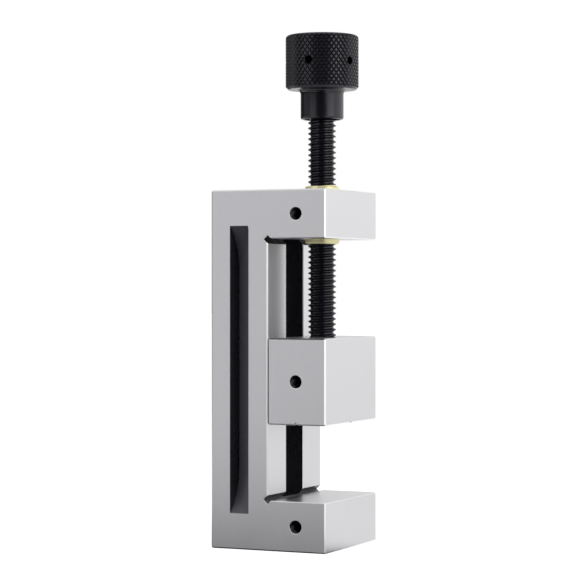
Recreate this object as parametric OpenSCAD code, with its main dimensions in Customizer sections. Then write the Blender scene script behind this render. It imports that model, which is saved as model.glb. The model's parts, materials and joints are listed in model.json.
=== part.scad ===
// Precision tool vise, two inch class, standing on the end face of its fixed jaw.
// X runs from the underside (-) to the jaw tops (+), Y across the jaws, Z along the screw.
// The origin is the centre of the end face. All sizes are in millimetres.

/* [Body] */
// Length of the body along the screw
body_length = 140; // [136:1:160]
// Width of the body across the jaws
body_width = 50; // [48:1:60]
// Height from the underside to the jaw tops
body_height = 49; // [47:0.5:54]
// Thickness of the base below the ways
base_thickness = 24.5; // [23:0.5:26]
// Thickness of the fixed jaw
fixed_jaw_thickness = 19.5; // [15:0.5:21]
// Thickness of the block that carries the nut
nut_block_thickness = 19; // [16:0.5:20]
// Leg of the chamfers on the long edges
edge_chamfer = 0.5; // [0.2:0.1:0.8]
// Side of the square reliefs in the inner corners
relief_side = 2.4; // [1.2:0.1:2.8]
// How far the middle of each relief stands clear of the jaw or block beside it
relief_offset = 0.35; // [0:0.05:0.6]

/* [Slot and side grooves] */
// Width of the slot between the ways
slot_width = 16; // [14:0.5:17]
// Width of the wider slot in the underside
keeper_slot_width = 23; // [21:0.5:25]
// Depth of the wider slot in the underside
keeper_slot_depth = 11; // [10.5:0.25:12]
// Distance of the wider slot from each end of the body
keeper_slot_margin = 11; // [8:0.5:13]
// Width of the clamping groove in each side
groove_width = 8; // [5:0.5:9]
// Depth of the clamping groove
groove_depth = 8.5; // [4:0.5:9]
// Height of the groove's centre line above the underside
groove_height = 12.2; // [9:0.1:14]
// Distance of the groove from each end of the body
groove_margin = 14; // [8:0.5:20]
// Radius of the cutter that leaves the groove's sloping ends
groove_cutter_radius = 22; // [15:1:30]

/* [Side holes] */
// Radius of the tapped side holes at their thread crests
side_hole_radius = 2.5; // [1.5:0.1:2.8]
// Depth of the two side holes in the fixed jaw
side_hole_depth = 13; // [6:0.5:16]

/* [Movable jaw] */
// Thickness of the movable jaw along the screw
movable_jaw_thickness = 33.5; // [31:0.5:36]
// Opening between the jaws as drawn
jaw_opening = 29.4; // [5:0.2:32]
// Depth of the crossed V grooves in the clamping face
vee_depth = 1; // [0.4:0.1:1.6]
// Thickness of the keeper plate
keeper_thickness = 8.5; // [8:0.1:9.5]
// How much shorter than the jaw the keeper plate is at each end
keeper_end_gap = 2; // [1.5:0.1:2.5]
// Distance of the keeper screws from the jaw's faces
keeper_screw_inset = 8; // [7.5:0.5:10]

/* [Screw] */
// Height of the screw axis above the ways
screw_height = 11.9; // [10.5:0.1:13]
// Outer diameter of the thread
thread_diameter = 11.1; // [10:0.1:11.6]
// Pitch of the thread, twelve turns to the inch
thread_pitch = 2.117; // [1.8:0.001:2.6]
// Depth of the thread
thread_depth = 1; // [0.8:0.05:1.3]
// Width of the flat on the thread crest
thread_crest = 0.3; // [0.2:0.05:0.4]
// Thread length seen between the movable jaw and the hub
exposed_screw = 85.8; // [80:0.1:100]
// Diameter of the plain tip in the movable jaw
tip_diameter = 8.4; // [7:0.1:8.5]
// Length of the plain tip below the thread
tip_length = 24; // [22:0.5:26]

/* [Nut] */
// Outer diameter of the brass nut
nut_diameter = 13.6; // [13.2:0.1:16]
// How far the nut stands out of both faces of its block
nut_collar = 1.9; // [0.5:0.1:2.5]

/* [Knob] */
// Diameter over the knurl
knob_diameter = 28.8; // [24:0.2:32]
// Length of the knurled head
knob_length = 21.4; // [18:0.2:26]
// Diameter of the hub under the head
hub_diameter = 17; // [16.5:0.1:19]
// Length of the hub
hub_length = 11.8; // [10:0.1:14]
// Radius of the fillet between hub and head
hub_fillet = 1.9; // [0.5:0.1:2.5]
// Number of tommy bar holes
tommy_holes = 5; // [3:1:6]
// Diameter of the tommy bar holes
tommy_diameter = 3.2; // [2.5:0.1:4]
// Depth of the tommy bar holes
tommy_depth = 8; // [5:0.5:9]

/* [Fits] */
// Clearance between parts that slide or turn on each other
running_gap = 0.03; // [0.02:0.01:0.05]
// Clearance around parts that are screwed or pressed in place
seat_gap = 0.02; // [0.01:0.01:0.04]
// Clearance of the nut's thread around the screw's thread
thread_gap = 0.12; // [0.1:0.01:0.15]

/* [Hidden] */
$fn = 64;

// Overrun of every cut past the face that it leaves
overrun = 1;
// Legs of the smaller chamfers, on the edges of slots and turned parts
fine_chamfer = 0.3;

// Places along X: the underside, the ways, the screw axis and the jaw tops
underside_x = -body_height / 2;
ways_x = underside_x + base_thickness;
screw_x = ways_x + screw_height;
tops_x = body_height / 2;
groove_x = underside_x + groove_height;
shoulder_x = underside_x + keeper_slot_depth;

// Places along Z, from the floor to the top of the knob
fixed_face_z = fixed_jaw_thickness;
jaw_z = fixed_face_z + jaw_opening;
jaw_mid_z = jaw_z + movable_jaw_thickness / 2;
jaw_top_z = jaw_z + movable_jaw_thickness;
block_z = body_length - nut_block_thickness;
hub_z = jaw_top_z + exposed_screw;
head_z = hub_z + hub_length;

// Socket in the jaw top that takes the last turns of the thread
entry_depth = 2.5;
entry_gap = 0.35;
thread_z = jaw_top_z - entry_depth + entry_gap;
tip_z = thread_z - tip_length;
tip_radius = tip_diameter / 2;
tip_groove_depth = 1;
tip_groove_width = 3.2;

// Hard button that the tip pushes on
button_thickness = 3;
button_z = tip_z - running_gap - button_thickness;

// Set screws with hexagon sockets, and the dog points that hold the tip
set_screw_length = 8;
set_screw_radius = side_hole_radius - seat_gap;
set_screw_socket_share = 0.6;
set_screw_socket_depth = 3.5;
dog_side_gap = 0.3;
dog_tip_gap = 0.1;
dog_radius = tip_groove_width / 2 - dog_side_gap;
dog_end = tip_radius - tip_groove_depth + dog_tip_gap;
dog_shoulder = tip_radius + tip_groove_depth;

// Keeper plate, its screws and washers
plate_top_x = shoulder_x - running_gap;
plate_bottom_x = plate_top_x - keeper_thickness;
plate_side_gap = 0.15;
keeper_head_radius = 4.25;
keeper_head_height = 5;
keeper_head_gap = 0.25;
keeper_head_sink = 0.3;
keeper_shank_radius = 2.5;
keeper_shank_length = 16;
keeper_hex_share = 0.55;
washer_thickness = 1;
washer_radius = keeper_head_radius + keeper_head_gap / 2;
keeper_head_x = plate_bottom_x + keeper_head_sink;
washer_x = keeper_head_x + keeper_head_height;
keeper_seat_x = washer_x + washer_thickness;
keeper_shank_end_x = washer_x + keeper_shank_length;
keeper_hole_spare = 1.5;
keeper_low_z = jaw_z + keeper_screw_inset;
keeper_high_z = jaw_top_z - keeper_screw_inset;

// Knob: the hollow under the hub swallows the nut's collar, and the hub sinks into the block
hub_radius = hub_diameter / 2;
knob_radius = knob_diameter / 2;
collar_room = 0.4;
hub_sink = 1.2;
hub_recess_spare = 0.4;
hub_recess_depth = hub_sink + hub_recess_spare;
hub_recess_radius = hub_radius + collar_room;
hollow_radius = nut_diameter / 2 + collar_room;
hollow_depth = nut_collar + hub_sink + collar_room;
shank_radius = 4;
shank_length = 16;
shank_z = hub_z + hollow_depth;
head_chamfer = 1;
hub_edge = 0.8;
tommy_height_share = 0.5;
tommy_z = head_z + tommy_height_share * knob_length;
tommy_first_angle = -88;
knob_pin_radius = 1.5;
knob_pin_angle = 25;
knob_pin_z = (shank_z + head_z) / 2;
knob_pin_sink = 0.15;

// Steps in a turn of the thread, and the half angle of its profile
thread_steps = 24;
flank_angle = 30;
thread_radius = thread_diameter / 2;
thread_root = thread_radius - thread_depth;
thread_flank = thread_depth * tan(flank_angle);

function unit(v) = v / norm(v);

// Every outer corner of an outline becomes a chamfer with this leg, and inner corners stay
function chamfered(outline, leg) = [
    for (i = [0 : len(outline) - 1])
        let (
            here = outline[i],
            back = outline[(i + len(outline) - 1) % len(outline)] - here,
            ahead = outline[(i + 1) % len(outline)] - here
        )
        each cross(-back, ahead) > 0 ? [here + leg * unit(back), here + leg * unit(ahead)] : [here]
];

function rectangle(low, high) = [low, [high.x, low.y], high, [low.x, high.y]];

// An outline in X and Z drawn out across the vise
module drawn_across(outline, width) {
    rotate([90, 0, 0]) linear_extrude(width, center = true) polygon(outline);
}

// An outline in Y and Z drawn out from one X to another
module drawn_upright(outline, low_x, high_x) {
    translate([low_x, 0, 0]) rotate([90, 0, 90]) linear_extrude(high_x - low_x) polygon(outline);
}

// A cylinder along Y between two places on Y
module round_across(radius, low_y, high_y) {
    translate([0, low_y, 0]) rotate([-90, 0, 0]) cylinder(r = radius, h = high_y - low_y);
}

// A cylinder along X between two places on X
module round_upright(radius, low_x, high_x) {
    translate([low_x, 0, 0]) rotate([0, 90, 0]) cylinder(r = radius, h = high_x - low_x);
}

// A square bar on its edge, which cuts a chamfer with this leg or a V of this depth
module bar_across(leg, length) {
    rotate([0, 45, 0]) cube([leg * sqrt(2), length, leg * sqrt(2)], center = true);
}
module bar_upright(leg, length) {
    rotate([45, 0, 0]) cube([length, leg * sqrt(2), leg * sqrt(2)], center = true);
}
module bar_along(leg, length) {
    rotate([0, 0, 45]) cube([leg * sqrt(2), leg * sqrt(2), length], center = true);
}

// Both sides of the vise
module on_both_sides() {
    for (side = [0, 1]) mirror([0, side, 0]) children();
}

// A block with all its edges chamfered
module chamfered_block(low, high, leg) {
    intersection() {
        translate([0, (low.y + high.y) / 2, 0])
            drawn_across(chamfered(rectangle([low.x, low.z], [high.x, high.z]), leg), high.y - low.y);
        drawn_upright(chamfered(rectangle([low.y, low.z], [high.y, high.z]), leg), low.x, high.x);
        translate([0, 0, low.z]) linear_extrude(high.z - low.z)
            polygon(chamfered(rectangle([low.x, low.y], [high.x, high.y]), leg));
    }
}

// The groove that a disc cutter leaves in the near side, with a sloping end at both ends
module side_groove() {
    centre_y = -body_width / 2 + groove_depth - groove_cutter_radius;
    chord = sqrt(pow(groove_cutter_radius, 2) - pow(groove_cutter_radius - groove_depth, 2));
    low_z = groove_margin + chord;
    high_z = body_length - groove_margin - chord;
    for (z = [low_z, high_z])
        translate([0, centre_y, z])
            round_upright(groove_cutter_radius, groove_x - groove_width / 2, groove_x + groove_width / 2);
    translate([groove_x - groove_width / 2, centre_y, low_z])
        cube([groove_width, groove_cutter_radius, high_z - low_z]);
}

// The wide slot in the underside, with its round milled ends
module keeper_slot() {
    end_radius = keeper_slot_width / 2;
    low_z = keeper_slot_margin + end_radius;
    high_z = body_length - keeper_slot_margin - end_radius;
    for (z = [low_z, high_z])
        translate([0, 0, z]) round_upright(end_radius, underside_x - overrun, shoulder_x);
    translate([underside_x - overrun, -end_radius, low_z])
        cube([keeper_slot_depth + overrun, keeper_slot_width, high_z - low_z]);
}

// Both places of the keeper screws
module at_keeper_screws() {
    for (z = [keeper_low_z, keeper_high_z]) translate([0, 0, z]) children();
}

// A set screw along Y whose inner end is at this distance from the middle, with its socket outside
module set_screw(inner) {
    socket_radius = set_screw_radius * set_screw_socket_share / cos(30);
    difference() {
        round_across(set_screw_radius, inner, inner + set_screw_length);
        translate([0, inner + set_screw_length - set_screw_socket_depth, 0]) rotate([-90, 0, 0])
            cylinder(r = socket_radius, h = set_screw_socket_depth + overrun, $fn = 6);
    }
}

// How much of the thread stands at a step, as it fades in and out over one turn at its ends
function thread_share(step, last) = min(1, step / thread_steps, (last - step) / thread_steps);

// A closed solid with a right-hand thread between two flat ends. The profile starts on the root at
// angle zero and height start, and turns times thread_pitch further up it has run out.
// grow moves its surface outwards, and widen moves its flanks apart.
module threaded_rod(low_z, high_z, start, turns, grow, widen) {
    last = turns * thread_steps;
    root = thread_root + grow;
    rises = [0, thread_flank, thread_flank + thread_crest + 2 * widen,
             2 * thread_flank + thread_crest + 2 * widen];
    function around(radius, step, z) =
        let (angle = 360 * step / thread_steps) [radius * cos(angle), radius * sin(angle), z];
    function climb(step) = start - widen + thread_pitch * step / thread_steps;
    low = [for (j = [0 : thread_steps - 1]) around(root, j, low_z)];
    high = [for (j = [0 : thread_steps - 1]) around(root, j, high_z)];
    roots = [for (i = [0 : last + thread_steps]) around(root, i, climb(i))];
    ridge = [
        for (i = [0 : last], k = [1 : 3])
            around(root + (k < 3 ? thread_depth * thread_share(i, last) : 0), i, climb(i) + rises[k])
    ];
    low_at = 0;
    high_at = thread_steps;
    roots_at = 2 * thread_steps;
    ridge_at = roots_at + len(roots);
    function at(i, k) =
        k == 0 ? roots_at + i : k == 4 ? roots_at + i + thread_steps : ridge_at + 3 * i + k - 1;
    // The lines that cross the start and the end of the thread, from bottom to top
    first_line = concat([low_at], [for (k = [0 : 4]) at(0, k)]);
    last_line = concat([for (k = [0 : 4]) at(last, k)], [high_at]);
    polyhedron(
        points = concat(low, high, roots, ridge),
        faces = concat(
            [[for (j = [0 : thread_steps - 1]) low_at + j]],
            [[for (j = [thread_steps - 1 : -1 : 0]) high_at + j]],
            [for (j = [0 : thread_steps - 2]) each [
                [low_at + j, at(j, 0), at(j + 1, 0)],
                [low_at + j, at(j + 1, 0), low_at + j + 1]
            ]],
            [for (n = [0 : len(first_line) - 2])
                [at(thread_steps - 1, 0), first_line[n + 1], first_line[n]]],
            [[at(thread_steps - 1, 0), low_at, low_at + thread_steps - 1]],
            [for (i = [0 : last - 1], k = [0 : 3]) each [
                [at(i, k), at(i, k + 1), at(i + 1, k + 1)],
                [at(i, k), at(i + 1, k + 1), at(i + 1, k)]
            ]],
            [for (n = [0 : len(last_line) - 2])
                [at(last + 1, 0), last_line[n], last_line[n + 1]]],
            [[at(last + 1, 0), high_at, high_at + 1]],
            [for (j = [1 : thread_steps - 1])
                let (beyond = high_at + (j + 1) % thread_steps)
                each [
                    [at(last + j, 0), high_at + j, beyond],
                    [at(last + j, 0), beyond, at(last + j + 1, 0)]
                ]]
        )
    );
}

// The steel that is ground from one piece: base, fixed jaw and nut block
module ground_body() {
    outline = [
        [underside_x, 0], [tops_x, 0], [tops_x, fixed_face_z], [ways_x, fixed_face_z],
        [ways_x, block_z], [tops_x, block_z], [tops_x, body_length], [underside_x, body_length]
    ];
    between = block_z - fixed_face_z;
    difference() {
        intersection() {
            drawn_across(chamfered(outline, edge_chamfer), body_width);
            chamfered_block([underside_x, -body_width / 2, 0], [tops_x, body_width / 2, body_length],
                            edge_chamfer);
        }
        for (z = [fixed_face_z + relief_offset, block_z - relief_offset])
            translate([ways_x, 0, z]) bar_across(relief_side / sqrt(2), body_width + overrun);
        translate([underside_x - overrun, -slot_width / 2, fixed_face_z])
            cube([base_thickness + 2 * overrun, slot_width, between]);
        keeper_slot();
        on_both_sides() side_groove();
        // Chamfers along the ways, along the slot and up the inner faces of both jaws
        for (y = [-body_width / 2, body_width / 2])
            translate([ways_x, y, fixed_face_z + between / 2]) bar_along(edge_chamfer, between);
        for (y = [-slot_width / 2, slot_width / 2])
            translate([ways_x, y, fixed_face_z + between / 2]) bar_along(fine_chamfer, between);
        for (y = [-body_width / 2, body_width / 2], z = [fixed_face_z, block_z])
            translate([tops_x, y, z]) bar_upright(fine_chamfer, 2 * (tops_x - ways_x));
        // Bore for the nut, and the recess that the hub sinks into when the jaws close
        translate([screw_x, 0, block_z - overrun])
            cylinder(r = nut_diameter / 2 + seat_gap, h = nut_block_thickness + 2 * overrun);
        translate([screw_x, 0, body_length - hub_recess_depth])
            cylinder(r = hub_recess_radius, h = hub_recess_depth + overrun);
        // Tapped side holes of the nut block and of the fixed jaw
        on_both_sides() {
            translate([screw_x, 0, block_z + nut_block_thickness / 2])
                round_across(side_hole_radius, 0, body_width / 2 + overrun);
            translate([screw_x, 0, fixed_jaw_thickness / 2])
                round_across(side_hole_radius, body_width / 2 - side_hole_depth, body_width / 2 + overrun);
        }
    }
}

// The share of the ground body between two places on X and two on Z
module share_of_body(low, high) {
    color("gainsboro") intersection() {
        ground_body();
        translate([low.x, -body_width / 2 - overrun, low.y])
            cube([high.x - low.x, body_width + 2 * overrun, high.y - low.y]);
    }
}

// Base with the ways, the slot and the side grooves, up to the level of the ways
module base() {
    share_of_body([underside_x - overrun, -overrun], [ways_x, body_length + overrun]);
}

// Fixed jaw, which stands on the low end of the base
module fixed_jaw() {
    share_of_body([ways_x, -overrun], [tops_x + overrun, fixed_face_z + overrun]);
}

// Nut block, which stands on the high end of the base
module nut_block() {
    share_of_body([ways_x, block_z - overrun], [tops_x + overrun, body_length + overrun]);
}

// Jaw block with the tongue that runs in the slot
module movable_jaw() {
    low_x = ways_x + running_gap;
    color("gainsboro") difference() {
        union() {
            chamfered_block([low_x, -body_width / 2, jaw_z], [tops_x, body_width / 2, jaw_top_z],
                            edge_chamfer);
            translate([plate_top_x, -slot_width / 2 + running_gap, jaw_z + edge_chamfer])
                cube([ways_x - plate_top_x + edge_chamfer + running_gap, slot_width - 2 * running_gap,
                      movable_jaw_thickness - 2 * edge_chamfer]);
        }
        // Crossed V grooves of the clamping face
        translate([screw_x, 0, jaw_z]) bar_across(vee_depth, body_width + overrun);
        translate([tops_x, 0, jaw_z]) bar_upright(vee_depth, 2 * (tops_x - ways_x) + overrun);
        // Bore for the screw's tip and its button, with a wider mouth for the thread
        translate([screw_x, 0, button_z])
            cylinder(r = tip_radius + running_gap, h = jaw_top_z - button_z + overrun);
        translate([screw_x, 0, jaw_top_z - entry_depth])
            cylinder(r = thread_radius + entry_gap, h = entry_depth + overrun);
        // Side holes for the set screws that hold the tip
        on_both_sides() translate([screw_x, 0, jaw_mid_z])
            round_across(side_hole_radius, 0, body_width / 2 + overrun);
        at_keeper_screws()
            round_upright(keeper_shank_radius + seat_gap, plate_top_x - overrun,
                          keeper_shank_end_x + keeper_hole_spare);
    }
}

// Plate in the underside slot that holds the jaw down on the ways
module keeper_plate() {
    half_width = keeper_slot_width / 2 - plate_side_gap;
    color("dimgray") difference() {
        chamfered_block([plate_bottom_x, -half_width, jaw_z + keeper_end_gap],
                        [plate_top_x, half_width, jaw_top_z - keeper_end_gap], edge_chamfer);
        at_keeper_screws() {
            round_upright(keeper_head_radius + keeper_head_gap, plate_bottom_x - overrun, keeper_seat_x);
            round_upright(keeper_shank_radius + keeper_head_gap, plate_bottom_x, plate_top_x + overrun);
        }
    }
}

// Socket head cap screw from the plate into the tongue
module keeper_screw(z) {
    socket_radius = keeper_head_radius * keeper_hex_share / cos(30);
    color("black") translate([0, 0, z]) difference() {
        union() {
            round_upright(keeper_head_radius, keeper_head_x, washer_x);
            round_upright(keeper_shank_radius, keeper_head_x, keeper_shank_end_x);
        }
        translate([keeper_head_x - overrun, 0, 0]) rotate([0, 90, 0])
            cylinder(r = socket_radius, h = keeper_head_height / 2 + overrun, $fn = 6);
    }
}

// Washer under the head of a keeper screw
module keeper_washer(z) {
    color("silver") translate([0, 0, z]) difference() {
        round_upright(washer_radius, washer_x, keeper_seat_x);
        round_upright(keeper_shank_radius + keeper_head_gap / 2, washer_x - overrun,
                      keeper_seat_x + overrun);
    }
}

// Screw with its thread, its grooved tip and the shank that the knob is pinned on
module lead_screw() {
    turns = floor((shank_z - thread_z) / thread_pitch) - 1;
    groove_radius = tip_radius - tip_groove_depth;
    groove_low = jaw_mid_z - tip_z - tip_groove_width / 2;
    groove_high = groove_low + tip_groove_width;
    tip = [
        [0, 0], [tip_radius - fine_chamfer, 0], [tip_radius, fine_chamfer],
        [tip_radius, groove_low], [groove_radius, groove_low],
        [groove_radius, groove_high], [tip_radius, groove_high],
        [tip_radius, tip_length + overrun], [0, tip_length + overrun]
    ];
    color("black") translate([screw_x, 0, 0]) difference() {
        union() {
            translate([0, 0, tip_z]) rotate_extrude() polygon(tip);
            threaded_rod(thread_z, shank_z, thread_z, turns, 0, 0);
            translate([0, 0, shank_z - overrun]) cylinder(r = shank_radius, h = shank_length + overrun);
        }
        translate([0, 0, knob_pin_z]) rotate([0, 0, knob_pin_angle])
            round_upright(knob_pin_radius + seat_gap, -hub_radius, hub_radius);
    }
}

// Hard button at the bottom of the jaw's bore
module thrust_button() {
    color("silver") translate([screw_x, 0, button_z])
        cylinder(r = tip_radius, h = button_thickness);
}

// Set screw whose dog point runs in the groove of the screw's tip
module retainer() {
    color("black") translate([screw_x, 0, jaw_mid_z]) {
        set_screw(dog_shoulder);
        round_across(dog_radius, dog_end, dog_shoulder + overrun);
    }
}

// Brass bush with the inner thread
module lead_nut() {
    low_z = block_z - nut_collar;
    high_z = body_length + nut_collar;
    below = 2;
    first_turn = floor((low_z - thread_z) / thread_pitch) - below;
    turns = ceil((high_z - low_z) / thread_pitch) + 2 * below;
    start = thread_z + first_turn * thread_pitch;
    color("gold") translate([screw_x, 0, 0]) difference() {
        translate([0, 0, low_z]) rotate_extrude() polygon(chamfered(
            rectangle([0, 0], [nut_diameter / 2, high_z - low_z]), 2 * fine_chamfer));
        threaded_rod(start - thread_pitch, start + (turns + 2) * thread_pitch, start, turns,
                     thread_gap, thread_gap / 2);
    }
}

// Set screw that keeps the nut from turning
module nut_lock() {
    color("black") translate([screw_x, 0, block_z + nut_block_thickness / 2])
        set_screw(nut_diameter / 2);
}

// Knurled head and hub in one piece
module knob() {
    fillet_steps = 6;
    fillet = [
        for (n = [0 : fillet_steps])
            let (angle = 90 * n / fillet_steps)
            [hub_radius + hub_fillet * (1 - cos(angle)), hub_length - hub_fillet * (1 - sin(angle))]
    ];
    profile = concat(
        [[0, 0], [hub_radius - hub_edge, 0], [hub_radius, hub_edge]],
        fillet,
        [[knob_radius - head_chamfer, hub_length], [knob_radius, hub_length + head_chamfer],
         [knob_radius, hub_length + knob_length - head_chamfer],
         [knob_radius - head_chamfer, hub_length + knob_length], [0, hub_length + knob_length]]
    );
    color("dimgray") translate([screw_x, 0, 0]) difference() {
        translate([0, 0, hub_z]) rotate_extrude() polygon(profile);
        translate([0, 0, hub_z - overrun]) cylinder(r = hollow_radius, h = hollow_depth + overrun);
        translate([0, 0, hub_z]) cylinder(r = shank_radius + seat_gap, h = hollow_depth + shank_length);
        for (n = [0 : tommy_holes - 1])
            rotate([0, 0, tommy_first_angle + 360 * n / tommy_holes]) translate([0, 0, tommy_z])
                round_upright(tommy_diameter / 2, knob_radius - tommy_depth, knob_radius + overrun);
        translate([0, 0, knob_pin_z]) rotate([0, 0, knob_pin_angle])
            round_upright(knob_pin_radius + seat_gap, -hub_radius - overrun, hub_radius + overrun);
    }
}

// Cross pin through the hub and the screw's shank
module knob_pin() {
    color("silver") translate([screw_x, 0, knob_pin_z]) rotate([0, 0, knob_pin_angle])
        round_upright(knob_pin_radius, knob_pin_sink - hub_radius, hub_radius - knob_pin_sink);
}

base();
fixed_jaw();
nut_block();
movable_jaw();
keeper_plate();
keeper_screw(keeper_low_z);  // keeper_screw_low
keeper_screw(keeper_high_z);  // keeper_screw_high
keeper_washer(keeper_low_z);  // keeper_washer_low
keeper_washer(keeper_high_z);  // keeper_washer_high
lead_screw();
thrust_button();
mirror([0, 1, 0]) retainer();  // retainer_near
retainer();  // retainer_far
lead_nut();
mirror([0, 1, 0]) nut_lock();  // nut_lock_near
nut_lock();  // nut_lock_far
knob();
knob_pin();
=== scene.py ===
import json
import math

import bmesh
import bpy
from mathutils import Matrix, Vector

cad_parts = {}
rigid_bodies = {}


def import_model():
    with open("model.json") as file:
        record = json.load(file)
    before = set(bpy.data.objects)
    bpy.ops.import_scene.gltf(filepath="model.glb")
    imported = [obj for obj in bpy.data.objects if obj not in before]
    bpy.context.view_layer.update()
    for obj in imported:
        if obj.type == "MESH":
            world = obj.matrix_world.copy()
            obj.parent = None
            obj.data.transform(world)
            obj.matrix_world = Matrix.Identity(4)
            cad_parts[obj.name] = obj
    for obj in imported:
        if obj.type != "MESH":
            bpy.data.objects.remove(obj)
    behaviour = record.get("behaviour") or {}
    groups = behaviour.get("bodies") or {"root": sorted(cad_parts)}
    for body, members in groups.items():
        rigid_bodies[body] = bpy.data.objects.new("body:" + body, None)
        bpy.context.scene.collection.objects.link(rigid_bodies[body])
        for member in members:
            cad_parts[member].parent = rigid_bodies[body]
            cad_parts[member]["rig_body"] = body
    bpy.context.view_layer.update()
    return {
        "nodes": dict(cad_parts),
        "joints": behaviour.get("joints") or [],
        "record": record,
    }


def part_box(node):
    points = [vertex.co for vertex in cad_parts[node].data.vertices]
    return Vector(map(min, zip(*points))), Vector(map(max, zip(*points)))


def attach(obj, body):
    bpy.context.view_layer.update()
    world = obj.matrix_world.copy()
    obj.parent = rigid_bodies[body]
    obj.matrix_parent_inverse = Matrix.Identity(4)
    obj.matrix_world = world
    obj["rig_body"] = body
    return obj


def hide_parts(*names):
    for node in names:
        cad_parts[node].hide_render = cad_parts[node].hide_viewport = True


# Sizes are in metres, in the part's own frame: Z runs up the screw, X points to the jaw tops
MM = 0.001
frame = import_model()
nodes = frame["nodes"]
joints = {joint["name"]: joint for joint in frame["joints"]}

# The screw's axis and pitch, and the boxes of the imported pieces
SCREW_X = joints["screw_spin"]["pos_m"][0]
PITCH = 2 * math.pi / frame["record"]["behaviour"]["couplings"][0]["ratio"]
KNOB_LOW, KNOB_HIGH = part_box("knob")
SCREW_LOW, SCREW_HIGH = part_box("lead_screw")
NUT_LOW, NUT_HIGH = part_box("lead_nut")
BASE_LOW, BASE_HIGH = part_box("base")
FIXED_FACE_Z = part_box("fixed_jaw")[1].z
BLOCK_LOW, BLOCK_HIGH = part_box("nut_block")
JAW_LOW, JAW_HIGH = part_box("movable_jaw")
WAYS_X = BASE_HIGH.x
BLOCK_Z = BLOCK_LOW.z

# Half widths of the slot in the base and of the wide slot under it, and the height of the wide one
SLOT_HALF = 8 * MM
KEEPER_SLOT_HALF = 11.5 * MM
KEEPER_SLOT_X = BASE_LOW.x + 11 * MM

# Where the recesses of the body lie: the side grooves, and the length that holds slots and holes
GROOVE_LOW = Vector((-16.4, 12, 13)) * MM
GROOVE_HIGH = Vector((-8.2, 24.9, 127)) * MM
OPEN_LOW_Z = 10 * MM
OPEN_HIGH_Z = 130 * MM
RELIEF_REACH = 1.7 * MM

# The big thread: its start above the screw's lower end, half the width of a tooth at its foot and
# at its crest, its root radius, and the depth of the hollow under the hub
THREAD_START = 24 * MM
TOOTH_FOOT = 0.727 * MM
TOOTH_CREST = 0.15 * MM
ROOT_RADIUS = 4.55 * MM
HUB_HOLLOW = 3.5 * MM

# The small threads in the side holes
SMALL_PITCH = 0.8 * MM
SMALL_STEPS = 40
BIG_STEPS = 72


# Small tools for meshes and node trees


def empty_piece(name):
    """A new object with an empty mesh at the origin."""
    piece = bpy.data.objects.new(name, bpy.data.meshes.new(name))
    bpy.context.scene.collection.objects.link(piece)
    return piece


def from_bmesh(name, shape):
    """A new object that holds this bmesh, with its faces turned outwards."""
    bmesh.ops.recalc_face_normals(shape, faces=shape.faces)
    piece = empty_piece(name)
    shape.to_mesh(piece.data)
    shape.free()
    return piece


def soften(piece, angle):
    """Smooth shading up to this angle in degrees, and hard edges past it."""
    for polygon in piece.data.polygons:
        polygon.use_smooth = True
    piece.data.set_sharp_from_angle(angle=math.radians(angle))


def frozen(piece):
    """Turns the piece's live modifiers into a plain mesh."""
    bpy.context.view_layer.update()
    evaluated = piece.evaluated_get(bpy.context.evaluated_depsgraph_get())
    mesh = bpy.data.meshes.new_from_object(evaluated)
    piece.modifiers.clear()
    old = piece.data
    piece.data = mesh
    bpy.data.meshes.remove(old)
    mesh.name = piece.name
    return piece


def turned(profile, steps, centre_x=SCREW_X, closed=False):
    """A bmesh turned round the screw axis from (radius, height) points, closed on the axis."""
    shape = bmesh.new()
    rings = []
    for radius, height in profile:
        if radius == 0:
            rings.append([shape.verts.new((centre_x, 0, height))])
        else:
            rings.append([
                shape.verts.new((centre_x + radius * math.cos(2 * math.pi * k / steps),
                                 radius * math.sin(2 * math.pi * k / steps), height))
                for k in range(steps)])
    pairs = list(zip(rings, rings[1:])) + ([(rings[-1], rings[0])] if closed else [])
    for low, high in pairs:
        for k in range(steps):
            after = (k + 1) % steps
            corners = [low[k % len(low)], low[after % len(low)],
                       high[after % len(high)], high[k % len(high)]]
            shape.faces.new(list(dict.fromkeys(corners)))
    return shape


def rounded(profile, radius):
    """A profile whose inner points are replaced with arcs of about this radius."""
    steps = 4
    points = [Vector(p) for p in profile]
    result = [points[0]]
    for before, corner, after in zip(points, points[1:], points[2:]):
        back, ahead = before - corner, after - corner
        reach = min(radius, back.length * 0.45, ahead.length * 0.45)
        start = corner + back.normalized() * reach
        end = corner + ahead.normalized() * reach
        for k in range(steps + 1):
            share = k / steps
            result.append(start.lerp(corner, share).lerp(corner.lerp(end, share), share))
    result.append(points[-1])
    return [tuple(p) for p in result]


class Tree:
    """A node tree that is filled with short calls."""

    def __init__(self, tree):
        self.tree = tree

    def add(self, kind, values=(), **settings):
        """A new node of this kind, with values or links for its inputs and its other settings."""
        node = self.tree.nodes.new(kind)
        for name, value in settings.items():
            setattr(node, name, value)
        for name, value in dict(values).items():
            self.feed(node, name, value)
        return node

    def feed(self, node, name, value):
        """Sets an input of the node, or links a socket to it."""
        socket = node.inputs[name]
        if isinstance(value, bpy.types.NodeSocket):
            self.tree.links.new(value, socket)
        else:
            socket.default_value = value

    def math(self, operation, *values):
        """The result of one Math node, which Geometry Nodes take as well as shaders."""
        node = self.tree.nodes.new("ShaderNodeMath")
        node.operation = operation
        for place, value in enumerate(values):
            self.feed(node, place, value)
        return node.outputs[0]


# Geometry Nodes: a helical thread and the knurl


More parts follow.
